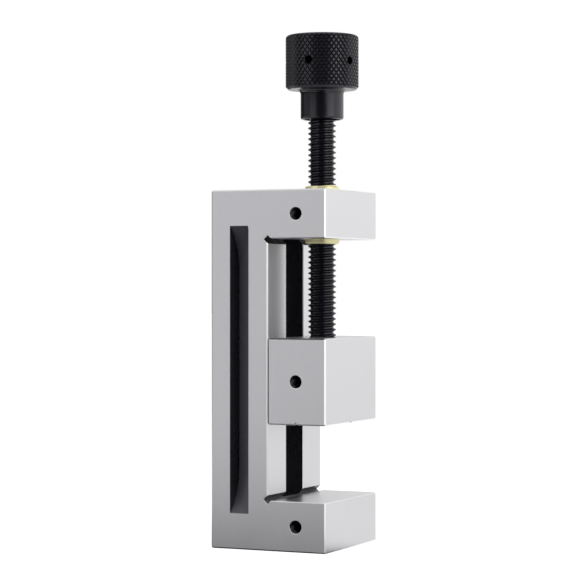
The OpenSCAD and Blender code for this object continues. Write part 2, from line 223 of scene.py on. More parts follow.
def geometry_tree(name, inputs):
    """A Geometry Nodes tree with these named number inputs, and a dict of their sockets."""
    tree = bpy.data.node_groups.new(name, "GeometryNodeTree")
    for label, kind, value in inputs:
        socket = tree.interface.new_socket(label, in_out="INPUT", socket_type=kind)
        if value is not None:
            socket.default_value = value
    tree.interface.new_socket("Geometry", in_out="OUTPUT", socket_type="NodeSocketGeometry")
    entry = tree.nodes.new("NodeGroupInput")
    return tree, Tree(tree), {s.name: s for s in entry.outputs if s.name}


def grow(name, tree, values):
    """A piece made by this Geometry Nodes tree with these inputs, as a plain mesh."""
    piece = empty_piece(name)
    modifier = piece.modifiers.new(name, "NODES")
    modifier.node_group = tree
    for item in tree.interface.items_tree:
        if item.item_type == "SOCKET" and item.in_out == "INPUT" and item.name in values:
            modifier[item.identifier] = values[item.name]
    return frozen(piece)


def helix_tree():
    """A band of thread round an axis along Z: turns of a trapezoid profile that climb one pitch each.
    The crest and root radii may stand either way round, so it makes inner threads too."""
    tree, t, inputs = geometry_tree("helical_thread", [
        ("Root Radius", "NodeSocketFloat", 0.0), ("Crest Radius", "NodeSocketFloat", 0.0),
        ("Pitch", "NodeSocketFloat", 0.0), ("Crest Share", "NodeSocketFloat", 0.14),
        ("Root Share", "NodeSocketFloat", 0.2), ("Start", "NodeSocketFloat", 0.0),
        ("Turns", "NodeSocketInt", 1), ("Steps", "NodeSocketInt", 48),
        ("Fade Turns", "NodeSocketFloat", 0.75), ("Centre X", "NodeSocketFloat", 0.0),
        ("Material", "NodeSocketMaterial", None)])
    rows = 17
    columns = t.math("ADD", t.math("MULTIPLY", inputs["Turns"], inputs["Steps"]), 1)
    grid = t.add("GeometryNodeMeshGrid", {"Size X": 1.0, "Size Y": 1.0, "Vertices X": columns,
                                          "Vertices Y": rows})
    spot = t.add("ShaderNodeSeparateXYZ", {0: t.add("GeometryNodeInputPosition").outputs[0]})
    along = t.math("ADD", spot.outputs["X"], 0.5)
    across = t.math("ADD", spot.outputs["Y"], 0.5)
    turn = t.math("MULTIPLY", along, inputs["Turns"])
    # The profile rises from the middle of a root to a crest and falls again
    away = t.math("MULTIPLY", t.math("ABSOLUTE", t.math("SUBTRACT", across, 0.5)), 2.0)
    rise = t.add("ShaderNodeMapRange", {
        "Value": away, "From Min": t.math("SUBTRACT", 1.0, inputs["Root Share"]),
        "From Max": inputs["Crest Share"], "To Min": 0.0, "To Max": 1.0},
        interpolation_type="LINEAR").outputs[0]
    # The thread fades in and out near its two ends
    near_end = t.math("MINIMUM", turn, t.math("SUBTRACT", inputs["Turns"], turn))
    fade = t.math("MINIMUM", t.math("DIVIDE", near_end, inputs["Fade Turns"]), 1.0)
    radius = t.math("ADD", inputs["Root Radius"], t.math(
        "MULTIPLY", t.math("SUBTRACT", inputs["Crest Radius"], inputs["Root Radius"]),
        t.math("MULTIPLY", rise, fade)))
    angle = t.math("MULTIPLY", turn, 2 * math.pi)
    height = t.math("ADD", inputs["Start"], t.math(
        "MULTIPLY", t.math("ADD", turn, across), inputs["Pitch"]))
    place = t.add("ShaderNodeCombineXYZ", {
        "X": t.math("ADD", inputs["Centre X"], t.math("MULTIPLY", radius, t.math("COSINE", angle))),
        "Y": t.math("MULTIPLY", radius, t.math("SINE", angle)), "Z": height})
    moved = t.add("GeometryNodeSetPosition", {"Geometry": grid.outputs["Mesh"],
                                              "Position": place.outputs[0]})
    joined = t.add("GeometryNodeMergeByDistance", {"Geometry": moved.outputs[0], "Distance": 2e-6})
    smooth = t.add("GeometryNodeSetShadeSmooth", {"Geometry": joined.outputs[0]})
    real = t.add("GeometryNodeRealizeInstances", {"Geometry": smooth.outputs[0]})
    named = t.add("GeometryNodeSetMaterial", {"Geometry": real.outputs[0],
                                              "Material": inputs["Material"]})
    t.add("NodeGroupOutput", {"Geometry": named.outputs[0]})
    return tree


def knurl_tree():
    """A sleeve of diamond knurl between two heights, open at both ends. Its grid has a vertex on
    every groove, and two families of V grooves cross on it."""
    tree, t, inputs = geometry_tree("diamond_knurl", [
        ("Radius", "NodeSocketFloat", 0.0), ("Groove Depth", "NodeSocketFloat", 0.0),
        ("Crest Share", "NodeSocketFloat", 0.2), ("Around", "NodeSocketInt", 50),
        ("Along", "NodeSocketFloat", 8.0), ("Steps", "NodeSocketInt", 8),
        ("Low", "NodeSocketFloat", 0.0), ("High", "NodeSocketFloat", 0.0),
        ("Centre X", "NodeSocketFloat", 0.0), ("Material", "NodeSocketMaterial", None)])
    columns = t.math("ADD", t.math("MULTIPLY", inputs["Around"], inputs["Steps"]), 1)
    rows = t.math("ADD", t.math("MULTIPLY", inputs["Along"], inputs["Steps"]), 1)
    grid = t.add("GeometryNodeMeshGrid", {"Size X": 1.0, "Size Y": 1.0, "Vertices X": columns,
                                          "Vertices Y": rows})
    spot = t.add("ShaderNodeSeparateXYZ", {0: t.add("GeometryNodeInputPosition").outputs[0]})
    round_share = t.math("ADD", spot.outputs["X"], 0.5)
    up_share = t.math("ADD", spot.outputs["Y"], 0.5)
    around = t.math("MULTIPLY", round_share, inputs["Around"])
    along = t.math("MULTIPLY", up_share, inputs["Along"])
    # Distance to the nearest groove of each family, from 0 in it to 1 midway between two
    apart = [t.math("MULTIPLY", t.math("PINGPONG", t.math(family, around, along), 0.5), 2.0)
             for family in ("ADD", "SUBTRACT")]
    flank = t.math("SUBTRACT", 1.0, inputs["Crest Share"])
    height = t.math("MINIMUM", t.math("DIVIDE", t.math("MINIMUM", *apart), flank), 1.0)
    radius = t.math("SUBTRACT", inputs["Radius"], t.math(
        "MULTIPLY", inputs["Groove Depth"], t.math("SUBTRACT", 1.0, height)))
    angle = t.math("MULTIPLY", round_share, 2 * math.pi)
    level = t.math("ADD", inputs["Low"], t.math(
        "MULTIPLY", up_share, t.math("SUBTRACT", inputs["High"], inputs["Low"])))
    place = t.add("ShaderNodeCombineXYZ", {
        "X": t.math("ADD", inputs["Centre X"], t.math("MULTIPLY", radius, t.math("COSINE", angle))),
        "Y": t.math("MULTIPLY", radius, t.math("SINE", angle)), "Z": level})
    moved = t.add("GeometryNodeSetPosition", {"Geometry": grid.outputs["Mesh"],
                                              "Position": place.outputs[0]})
    joined = t.add("GeometryNodeMergeByDistance", {"Geometry": moved.outputs[0], "Distance": 2e-6})
    split = t.add("GeometryNodeTriangulate", {"Mesh": joined.outputs[0]},
                  quad_method="SHORTEST_DIAGONAL")
    real = t.add("GeometryNodeRealizeInstances", {"Geometry": split.outputs[0]})
    named = t.add("GeometryNodeSetMaterial", {"Geometry": real.outputs[0],
                                              "Material": inputs["Material"]})
    t.add("NodeGroupOutput", {"Geometry": named.outputs[0]})
    return tree


helix = helix_tree()
knurl = knurl_tree()


# Materials. The slow cloud's share in every finish, next to the fine lines:
CLOUD_SHARE = 0.5


def shader_group(name, inputs, outputs):
    """A shader node group with these number inputs and outputs, and a dict of its input sockets."""
    tree = bpy.data.node_groups.new(name, "ShaderNodeTree")
    for label, kind, value in inputs:
        tree.interface.new_socket(label, in_out="INPUT", socket_type=kind).default_value = value
    for label, kind in outputs:
        tree.interface.new_socket(label, in_out="OUTPUT", socket_type=kind)
    entry = tree.nodes.new("NodeGroupInput")
    return tree, Tree(tree), {s.name: s for s in entry.outputs if s.name}


def grain_group():
    """Fine lines from grinding or turning: a value near 0.5 that changes quickly across the lines and
    slowly along them. Faces that look up or down the screw axis get lines across the vise."""
    tree, t, inputs = shader_group("grinding_lines", [
        ("Across", "NodeSocketFloat", 3000.0), ("Along", "NodeSocketFloat", 60.0),
        ("Bump Height", "NodeSocketFloat", 2e-6)],
        [("Lines", "NodeSocketFloat"), ("Cloud", "NodeSocketFloat"), ("Normal", "NodeSocketVector")])
    place = t.add("ShaderNodeTexCoord").outputs["Object"]
    facing = t.add("ShaderNodeSeparateXYZ", {0: t.add("ShaderNodeNewGeometry").outputs["Normal"]})
    upright = t.math("GREATER_THAN", t.math("ABSOLUTE", facing.outputs["Z"]), 0.8)
    across, along = inputs["Across"], inputs["Along"]
    side_scale = t.add("ShaderNodeCombineXYZ", {"X": across, "Y": across, "Z": along})
    end_scale = t.add("ShaderNodeCombineXYZ", {"X": across, "Y": along, "Z": across})
    scale = t.add("ShaderNodeMix", {0: upright, 4: side_scale.outputs[0], 5: end_scale.outputs[0]},
                  data_type="VECTOR")
    stretched = t.add("ShaderNodeVectorMath", {0: place, 1: scale.outputs[1]}, operation="MULTIPLY")
    lines = t.add("ShaderNodeTexNoise", {"Vector": stretched.outputs[0], "Scale": 1.0, "Detail": 3.0,
                                         "Roughness": 0.6})
    cloud = t.add("ShaderNodeTexNoise", {"Vector": place, "Scale": 35.0, "Detail": 4.0})
    bump = t.add("ShaderNodeBump", {"Strength": 1.0, "Distance": inputs["Bump Height"],
                                    "Height": lines.outputs[0]})
    t.add("NodeGroupOutput", {"Lines": lines.outputs[0], "Cloud": cloud.outputs[0],
                              "Normal": bump.outputs[0]})
    return tree


grain = grain_group()


def shade_of(t, value, low, high, near=0.35, far=0.65):
    """A number that goes from low to high as the value, which is most often a noise, goes from near
    to far."""
    return t.add("ShaderNodeMapRange", {"Value": value, "From Min": near, "From Max": far,
                                        "To Min": low, "To Max": high}).outputs[0]


def finish(name, dark, light, roughness, metallic, across=3000.0, along=60.0, bump=2e-6,
           specular=0.5, lean_shade_share=1.0, sheen=(1.0, 1.0, 1.0)):
    """A metal finish: its colour runs between dark and light with the lines and a slow cloud, and so
    does its roughness between the two given values. Faces that lean up or down are darkened to the
    given share of the colour, a painted shade, and sheen tints what a black finish mirrors."""
    material = bpy.data.materials.new(name)
    material.use_nodes = True
    tree = material.node_tree
    t = Tree(tree)
    shader = tree.nodes["Principled BSDF"]
    lines = t.add("ShaderNodeGroup", node_tree=grain)
    t.feed(lines, "Across", across)
    t.feed(lines, "Along", along)
    t.feed(lines, "Bump Height", bump)
    mixed = t.add("ShaderNodeMix", {0: CLOUD_SHARE, 2: lines.outputs["Lines"],
                                    3: lines.outputs["Cloud"]}, data_type="FLOAT")
    amount = shade_of(t, mixed.outputs[0], 0.0, 1.0)
    colour = t.add("ShaderNodeMix", {0: amount, 6: (*dark, 1.0), 7: (*light, 1.0)}, data_type="RGBA")
    t.feed(shader, "Base Color", colour.outputs[2])
    # Painted shade: faces that lean up or down get a darker colour.
    if lean_shade_share < 1.0:
        normal = t.add("ShaderNodeNewGeometry").outputs["Normal"]
        facing = t.add("ShaderNodeSeparateXYZ", {0: normal})
        kept = shade_of(t, t.math("ABSOLUTE", facing.outputs["Z"]), 1.0, lean_shade_share, 0.0, 0.6)
        lean_shaded = t.add("ShaderNodeVectorMath", {0: colour.outputs[2], "Scale": kept},
                        operation="SCALE")
        t.feed(shader, "Base Color", lean_shaded.outputs[0])
    t.feed(shader, "Roughness", shade_of(t, mixed.outputs[0], *roughness))
    t.feed(shader, "Metallic", metallic)
    t.feed(shader, "Specular IOR Level", specular)
    t.feed(shader, "Specular Tint", (*sheen, 1.0))
    t.feed(shader, "Normal", lines.outputs["Normal"])
    return material


# The faces that look along Y: rougher ground steel whose lighter, partly matte colour is painted
# light.
LIT_SIDE = finish("ground_side_painted_light", (0.86, 0.852, 0.887), (0.90, 0.892, 0.927), (0.46, 0.52), 0.75,
              bump=1.2e-6)
GROUND = finish("ground_steel_finish", (0.695, 0.693, 0.71), (0.725, 0.723, 0.74), (0.30, 0.36), 1.0,
                bump=0.8e-6)
# Near-white mirror steel on the broken edges, chamfers and V groove sides: a painted highlight that
# shows them as white lines.
HIGHLIGHT_EDGE = finish("ground_edge_painted_highlight", (0.97, 0.97, 0.98), (1.0, 1.0, 1.0), (0.32, 0.38), 1.0,
              bump=1e-6)
# Near-white, mostly matte finish on the chamfers that look up: a painted highlight.
HIGHLIGHT_LEDGE = finish("ground_ledge_painted_highlight", (0.96, 0.96, 0.97), (1.0, 1.0, 1.0), (0.42, 0.5), 0.15,
               bump=1e-6)
RECESS = finish("black_recess_finish", (0.018, 0.0175, 0.024), (0.024, 0.0235, 0.032),
                (0.25, 0.32), 0.0, across=900.0, along=200.0, bump=4e-6, specular=0.6)
OXIDE = finish("black_oxide_finish", (0.0062, 0.0059, 0.0092), (0.0080, 0.0076, 0.0118),
               (0.2, 0.27), 0.0, across=700.0, along=700.0, bump=1e-6, specular=0.54,
               sheen=(0.93, 0.91, 1.0))
# The floors of the side grooves: a lighter copy of the black recess finish, painted light, darker on
# the sloping ends as painted shade.
GROOVE_LIGHT_AND_SHADE = finish("groove_floor_painted_light_and_shade", (0.195, 0.19, 0.225), (0.215, 0.21, 0.245), (0.3, 0.38),
                0.0, across=900.0, along=200.0, bump=3e-6, specular=0.6, lean_shade_share=0.62)
BRASS = finish("turned_brass_finish", (1.0, 0.93, 0.5), (1.0, 0.96, 0.58), (0.3, 0.36), 0.5,
               across=400.0, along=4000.0)
HARD = finish("hardened_steel_finish", (0.50, 0.50, 0.52), (0.60, 0.60, 0.62), (0.22, 0.30), 1.0)
MATERIALS = {"ground_steel": GROUND, "black_steel": OXIDE, "brass": BRASS, "hard_steel": HARD}


# The ground blocks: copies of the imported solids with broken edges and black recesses. These are the
# places of a block's finishes in its list.
PLAIN, RECESSED, HIGHLIGHTED_CHAMFER, LIT_FLANK, LIT_GROOVE_FLOOR, UPWARD_HIGHLIGHT_CHAMFER = range(6)

# The broken edges: their width, and the width's share along the ways
EDGE_WIDTH = 0.3 * MM
WAYS_SHARE = 0.4


def cut(piece, cutter, operation="DIFFERENCE"):
    """Cuts the piece with the cutter, which is then removed."""
    modifier = piece.modifiers.new("cut", "BOOLEAN")
    modifier.operation = operation
    modifier.solver = "EXACT"
    modifier.object = cutter
    frozen(piece)
    bpy.data.objects.remove(cutter)
    return piece


def packed_copy(node):
    """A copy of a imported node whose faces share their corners."""
    shape = bmesh.new()
    shape.from_mesh(nodes[node].data)
    bmesh.ops.remove_doubles(shape, verts=shape.verts, dist=0.001 * MM)
    return from_bmesh(node + "_copy", shape)


def worked_block(name, parts, recess, finishes):
    """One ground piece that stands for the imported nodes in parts, with broken edges. Its finishes
    come in the order given above, and recess(centre, normal) is true on its recessed faces."""
    whole = packed_copy(parts[0])
    for part in parts[1:]:
        cut(whole, packed_copy(part), "UNION")
    shape = bmesh.new()
    shape.from_mesh(whole.data)
    bpy.data.objects.remove(whole)
    bmesh.ops.remove_doubles(shape, verts=shape.verts, dist=0.001 * MM)
    bmesh.ops.dissolve_limit(shape, angle_limit=math.radians(0.3), verts=shape.verts,
                             edges=shape.edges, delimit={"NORMAL"})
    shape.normal_update()
    for face in shape.faces:
        face.material_index = PLAIN
        face.smooth = False
        if recess(face.calc_center_median(), face.normal):
            face.material_index = recess_or_lit_groove_floor(face)
            face.smooth = True
        # Chamfers and V groove sides take near-white finishes, a painted highlight.
        elif is_chamfer(face) and abs(face.calc_center_median().x - WAYS_X) > 1 * MM:
            face.material_index = UPWARD_HIGHLIGHT_CHAMFER if face.normal.z > 0.3 else HIGHLIGHTED_CHAMFER
        # Faces that look along Y take the lighter side finish, painted light.
        elif abs(face.normal.y) > 0.9:
            face.material_index = LIT_FLANK
    # The new bevel faces take the near-white edge finish, a painted highlight.
    for on_ways, width in ((True, WAYS_SHARE * EDGE_WIDTH), (False, EDGE_WIDTH)):
        rounded_off = bmesh.ops.bevel(shape, geom=sharp_edges(shape, on_ways), offset=width,
                                      segments=3, profile=0.5, affect="EDGES", clamp_overlap=True,
                                      material=HIGHLIGHTED_CHAMFER)
        for face in rounded_off["faces"]:
            face.smooth = False
    for edge in shape.edges:
        if len(edge.link_faces) == 2:
            edge.smooth = edge.calc_face_angle() < math.radians(30)
    piece = empty_piece(name)
    shape.to_mesh(piece.data)
    shape.free()
    for material in finishes:
        piece.data.materials.append(material)
    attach(piece, body_name(parts[0]))
    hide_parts(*parts)
    return piece


def sharp_edges(shape, on_ways):
    """The outer corners of a block that aren't recessed: those along the ways, or all the others."""
    return [edge for edge in shape.edges if len(edge.link_faces) == 2 and edge.is_convex
            and edge.calc_face_angle() > math.radians(55)
            and not all(face.material_index in (RECESSED, LIT_GROOVE_FLOOR) for face in edge.link_faces)
            and on_ways == all(abs(corner.co.x - WAYS_X) < 0.2 * MM for corner in edge.verts)]


def is_chamfer(face):
    """True on a narrow sloping face, which is a chamfer or the side of a V groove."""
    flat = max(abs(part) for part in face.normal) > 0.99
    sides = sorted(edge.calc_length() for edge in face.edges)
    return not flat and len(face.edges) <= 6 and sides[0] < 1.5 * MM and sides[-1] > 10 * MM


def recess_or_lit_groove_floor(face):
    """The finish of a recessed face: floors and sloping ends of the side grooves get a lighter one,
    painted light, with painted shade on the sloping ends.
    """
    on_floor = abs(face.normal.x) < 0.5 and in_side_groove(face.calc_center_median())
    # Groove floors take the lighter finish, painted light.
    return LIT_GROOVE_FLOOR if on_floor else RECESSED


def in_side_groove(centre):
    """True inside one of the clamping grooves in the sides of the body."""
    return (GROOVE_LOW.x < centre.x < GROOVE_HIGH.x and GROOVE_LOW.y < abs(centre.y) < GROOVE_HIGH.y
            and GROOVE_LOW.z < centre.z < GROOVE_HIGH.z)


def body_name(node):
    """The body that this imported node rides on."""
    return nodes[node]["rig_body"]


def in_side_hole(centre):
    """True inside one of the cross holes at the height of the screw."""
    return abs(centre.x - SCREW_X) < 2.6 * MM and 7 * MM < abs(centre.y) < GROOVE_HIGH.y


def body_recess(centre, normal):
    """True in the grooves, the slots, the reliefs and the side holes of the body."""
    along_slots = OPEN_LOW_Z < centre.z < OPEN_HIGH_Z
    slot = (along_slots and abs(centre.y) < SLOT_HALF + 0.02 * MM and centre.x < -0.2 * MM
            and abs(centre.x - BASE_LOW.x) > 0.6 * MM)
    wide_slot = (along_slots and abs(centre.y) < KEEPER_SLOT_HALF + 0.02 * MM
                 and BASE_LOW.x + 0.1 * MM < centre.x < KEEPER_SLOT_X + 0.1 * MM)
    to_corner = min(abs(centre.z - FIXED_FACE_Z), abs(centre.z - BLOCK_Z))
    relief = (abs(centre.x) < RELIEF_REACH and to_corner < RELIEF_REACH
              and abs(normal.y) < 0.1 and 0.2 < abs(normal.x) < 0.98)
    return in_side_groove(centre) or slot or wide_slot or relief or in_side_hole(centre)


def jaw_recess(centre, normal):
    """True in the side holes and the screw's bore of the movable jaw."""
    from_axis = (centre.xy - Vector((SCREW_X, 0))).length
    bore = (from_axis < 6.5 * MM and centre.x > 1 * MM
            and JAW_LOW.z + 3 * MM < centre.z < JAW_HIGH.z - 0.1 * MM)
    return bore or in_side_hole(centre)


def plate_recess(centre, normal):
    """The keeper plate is black all over."""
    return True


GROUND_FINISHES = (GROUND, RECESS, HIGHLIGHT_EDGE, LIT_SIDE, GROOVE_LIGHT_AND_SHADE, HIGHLIGHT_LEDGE)
worked_block("ground_body", ["base", "fixed_jaw", "nut_block"], body_recess, GROUND_FINISHES)
worked_block("clamping_jaw", ["movable_jaw"], jaw_recess, GROUND_FINISHES)
worked_block("keeper", ["keeper_plate"], plate_recess, (OXIDE,) * len(GROUND_FINISHES))


# Turned and threaded pieces


def joined(name, pieces):
    """One object from several, with their materials."""
    shape = bmesh.new()
    for piece in pieces:
        shape.from_mesh(piece.data)
        bpy.data.objects.remove(piece)
    whole = empty_piece(name)
    shape.to_mesh(whole.data)
    shape.free()
    return whole


def dressed(piece, slot, body, stands_for=(), angle=30):
    """Gives a new piece its finish, its shading, its body and the nodes that it stands for."""
    piece.data.materials.clear()
    piece.data.materials.append(MATERIALS[slot])
    for polygon in piece.data.polygons:
        polygon.material_index = 0
    soften(piece, angle)
    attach(piece, body)
    if stands_for:
        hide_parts(*stands_for)
    return piece


def placed(piece, matrix):
    """Moves the piece's mesh, and leaves its object at the origin."""
    piece.data.transform(matrix)
    if matrix.determinant() < 0:
        piece.data.flip_normals()
    return piece


def knob_piece():
    """The knob: a turned and knurled head with its tommy bar holes, on a hub."""
    low, top = KNOB_LOW.z, KNOB_HIGH.z
    head_r = (KNOB_HIGH.x - KNOB_LOW.x) / 2
    hub_r, head = 8.5 * MM, low + 11.8 * MM
    hollow_r, fillet_r, top_r, dish_depth = 7.2 * MM, 1.9 * MM, 1.3 * MM, 0.15 * MM
    fillet = [(hub_r + fillet_r * (1 - math.cos(a)), head - fillet_r * (1 - math.sin(a)))
              for a in [math.pi / 2 * k / 8 for k in range(9)]]
    hub_edge = [(hub_r - 0.8 * MM, low), (hub_r - 0.25 * MM, low + 0.25 * MM),
                (hub_r, low + 0.8 * MM)]
    hollow = [(0, low + HUB_HOLLOW), (hollow_r, low + HUB_HOLLOW), (hollow_r, low)]
    head_edge = [(head_r - 1.0 * MM, head), (head_r, head + 1.0 * MM)] + [
        (head_r - top_r * (1 - math.cos(a)), top - top_r * (1 - math.sin(a)))
        for a in [math.pi / 2 * k / 6 for k in range(7)]]
    dish = [(9 * MM, top), (8.6 * MM, top - dish_depth), (0, top - dish_depth)]
    blank = from_bmesh("knob_blank", turned(hollow + hub_edge + fillet + head_edge + dish, 192))
    sleeve = grow("knurl_sleeve", knurl, {
        "Radius": head_r, "Groove Depth": 0.38 * MM, "Crest Share": 0.52, "Around": 46,
        "Along": 9.0, "Steps": 8, "Low": head - 0.8 * MM, "High": head + 22.2 * MM,
        "Centre X": SCREW_X})
    shape = bmesh.new()
    shape.from_mesh(sleeve.data)
    bpy.data.objects.remove(sleeve)
    # The sleeve becomes a solid that reaches down round the hub, so that only the head is cut
    ends = {}
    for edge in shape.edges:
        if edge.is_boundary:
            ends.setdefault(edge.verts[0].co.z > head + 5 * MM, []).append(edge)
    bmesh.ops.holes_fill(shape, edges=ends[True], sides=0)
    stretched = bmesh.ops.extrude_edge_only(shape, edges=ends[False])
    skirt = [v for v in stretched["geom"] if isinstance(v, bmesh.types.BMVert)]
    bmesh.ops.translate(shape, verts=skirt, vec=(0, 0, -20 * MM))
    rim = [e for e in stretched["geom"] if isinstance(e, bmesh.types.BMEdge) and e.is_boundary]
    bmesh.ops.holes_fill(shape, edges=rim, sides=0)
    knob = cut(blank, from_bmesh("knurl_solid", shape), "INTERSECT")
    drills = []
    hole_r, hole_depth, sink_r, past = 1.6 * MM, 8 * MM, 2.0 * MM, 2 * MM
    for n in range(5):
        spot, axis = frame_mount(f"tommy_hole_{n + 1}")
        drill = turned([(0, -hole_depth - 0.9 * MM), (hole_r, -hole_depth), (hole_r, -0.2 * MM),
                        (sink_r, 0.3 * MM), (sink_r, past), (0, past)], 48, centre_x=0)
        turn = Vector((0, 0, 1)).rotation_difference(axis).to_matrix().to_4x4()
        mouth = Vector((SCREW_X, 0, spot.z)) + axis * head_r
        drills.append(placed(from_bmesh("drill", drill), Matrix.Translation(mouth) @ turn))
    cut(knob, joined("drills", drills))
    knob.name = "knurled_knob"
    return dressed(knob, "black_steel", "screw", ["knob"], angle=20)


def frame_mount(name):
    """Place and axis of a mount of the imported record."""
    mount = next(m for m in frame["record"]["mounts"] if m["name"] == name)
    return Vector(mount["pos_m"]), Vector(mount["axis"])


def lead_screw_piece():
    """The screw: its core with the grooved tip, the helical thread and the shank in the knob."""
    low, top = SCREW_LOW.z, SCREW_HIGH.z
    crest, tip, shank = 5.55 * MM, 4.2 * MM, 4 * MM
    core_r = ROOT_RADIUS - 0.01 * MM
    thread_low, shank_low = low + THREAD_START, KNOB_LOW.z + HUB_HOLLOW
    groove, groove_half = (JAW_LOW.z + JAW_HIGH.z) / 2, 1.6 * MM
    groove_r, edge = tip - 1 * MM, 0.3 * MM
    profile = [(0, low), (tip - edge, low), (tip, low + edge), (tip, groove - groove_half),
               (groove_r, groove - groove_half), (groove_r, groove + groove_half),
               (tip, groove + groove_half), (tip, thread_low), (core_r, thread_low + 0.2 * MM),
               (core_r, shank_low), (shank, shank_low), (shank, top), (0, top)]
    core = from_bmesh("screw_core", turned(profile, 96))
    half = PITCH / 2
    thread = grow("screw_thread", helix, {
        "Root Radius": ROOT_RADIUS, "Crest Radius": crest, "Pitch": PITCH,
        "Crest Share": TOOTH_CREST / half, "Root Share": 1 - TOOTH_FOOT / half,
        "Start": thread_low + TOOTH_FOOT - half, "Turns": 43, "Steps": BIG_STEPS,
        "Fade Turns": 1.0, "Centre X": SCREW_X})
    whole = joined("threaded_screw", [core, thread])
    return dressed(whole, "black_steel", "screw", ["lead_screw"])


def nut_piece():
    """The brass nut: a turned bush with its inner thread."""
    low, high = NUT_LOW.z, NUT_HIGH.z
    outer, bore, edge = (NUT_HIGH.x - NUT_LOW.x) / 2, 5.68 * MM, 0.6 * MM
    profile = [(bore, low), (outer - edge, low), (outer, low + edge), (outer, high - edge),
               (outer - edge, high), (bore, high), (bore, low)]
    bush = from_bmesh("nut_bush", turned(rounded(profile, 0.15 * MM)[:-1], 128, closed=True))
    turns = math.floor((high - low) / PITCH) - 1
    first = math.ceil((low - SCREW_LOW.z - THREAD_START) / PITCH)
    start = SCREW_LOW.z + THREAD_START + first * PITCH + TOOTH_FOOT
    thread = grow("nut_inner_thread", helix, {
        "Root Radius": bore, "Crest Radius": 4.67 * MM, "Pitch": PITCH, "Crest Share": 0.12,
        "Root Share": 0.2, "Start": start, "Turns": turns, "Steps": BIG_STEPS, "Fade Turns": 0.4,
        "Centre X": SCREW_X})
    thread.data.flip_normals()
    return dressed(joined("brass_nut", [bush, thread]), "brass", "root", ["lead_nut"])


def across_vise(side, z, away=BLOCK_HIGH.y):
    """A matrix that lays a piece made round Z along Y on one side, with its origin this far from the
    middle: at the side face, unless it is told otherwise."""
    turn = Matrix.Rotation(math.radians(-90 if side > 0 else 90), 4, "X")
    return Matrix.Translation((SCREW_X, side * away, z)) @ turn


def tapped_thread(name, side, z, depth, body):
    """The thread in a side hole: M5 turns that start just under the face."""
    turns = int((depth - 0.6 * MM) / SMALL_PITCH) - 1
    thread = grow(name, helix, {
        "Root Radius": 2.5 * MM, "Crest Radius": 2.12 * MM, "Pitch": SMALL_PITCH,
        "Crest Share": 0.16, "Root Share": 0.14, "Start": -0.3 * MM - (turns + 1) * SMALL_PITCH,
        "Turns": turns, "Steps": SMALL_STEPS, "Fade Turns": 0.5, "Centre X": 0.0})
    thread.data.flip_normals()
    return dressed(placed(thread, across_vise(side, z)), "black_steel", body)


def socket_screw(name, radius, length, socket_radius, socket_depth, head=None):
    """A screw along +Z that starts at 0, with a hexagon socket in its end at length.
    head is (radius, height) of a cap head at that end."""
    profile = [(0, 0), (radius - 0.3 * MM, 0), (radius, 0.3 * MM)]
    if head:
        neck = length - head[1]
        profile += [(radius, neck), (head[0] - 0.2 * MM, neck), (head[0], neck + 0.2 * MM),
                    (head[0], length - 0.45 * MM), (head[0] - 0.45 * MM, length)]
    else:
        profile += [(radius, length - 0.4 * MM), (radius - 0.4 * MM, length)]
    screw = from_bmesh(name, turned(profile + [(0, length)], 64, centre_x=0))
    corner = socket_radius / math.cos(math.radians(30))
    hexagon = turned([(0, -socket_depth - 0.3 * socket_radius), (corner, -socket_depth),
                      (corner, 1 * MM), (0, 1 * MM)], 6, centre_x=0)
    key = from_bmesh("key", hexagon)
    cut(screw, placed(key, Matrix.Translation((0, 0, length))))
    mouth, past = corner * 1.06, 1 * MM
    cone = from_bmesh("cone", turned([(0, -corner * 0.6), (mouth, 0), (mouth, past), (0, past)],
                                     48, centre_x=0))
    return cut(screw, placed(cone, Matrix.Translation((0, 0, length))))


def set_screw_piece(node, dog):
    """A set screw in a side hole, with its thread and, on the retainers, its dog point."""
    low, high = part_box(node)
    side = 1 if high.y > 0 else -1
    inner, outer = sorted((abs(low.y), abs(high.y)))
    shoulder = 5.2 * MM if dog else inner
    screw = socket_screw("set_core", 2.15 * MM, outer - shoulder, 1.25 * MM, 3.2 * MM)
    turns = int((outer - shoulder - 0.6 * MM) / SMALL_PITCH) - 1
    thread = grow("set_thread", helix, {
        "Root Radius": 2.14 * MM, "Crest Radius": 2.46 * MM, "Pitch": SMALL_PITCH,
        "Crest Share": 0.14, "Root Share": 0.14, "Start": 0.4 * MM, "Turns": turns,
        "Steps": SMALL_STEPS, "Fade Turns": 0.5, "Centre X": 0.0})
    pieces = [screw, thread]
    if dog:
        point, dog_r, dog_top = inner - shoulder, 1.3 * MM, 0.5 * MM
        profile = [(0, point), (dog_r - 0.3 * MM, point), (dog_r, point + 0.3 * MM),
                   (dog_r, dog_top), (0, dog_top)]
        pieces.append(from_bmesh("dog", turned(profile, 48, centre_x=0)))
    whole = placed(joined(node + "_screw", pieces),
                   across_vise(side, (low.z + high.z) / 2, shoulder))
    return dressed(whole, "black_steel", body_name(node), [node])


def keeper_screw_piece(node):
    """A socket head cap screw that comes up through the keeper plate."""
    low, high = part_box(node)
    middle = (low + high) / 2
    screw = socket_screw(node + "_cap", 2.5 * MM, high.x - low.x, 2.3 * MM, 2.5 * MM,
                         head=(4.25 * MM, 5 * MM))
    turn = Matrix.Rotation(math.radians(-90), 4, "Y")
    place = Matrix.Translation((high.x, middle.y, middle.z)) @ turn
    return dressed(placed(screw, place), "black_steel", body_name(node), [node])


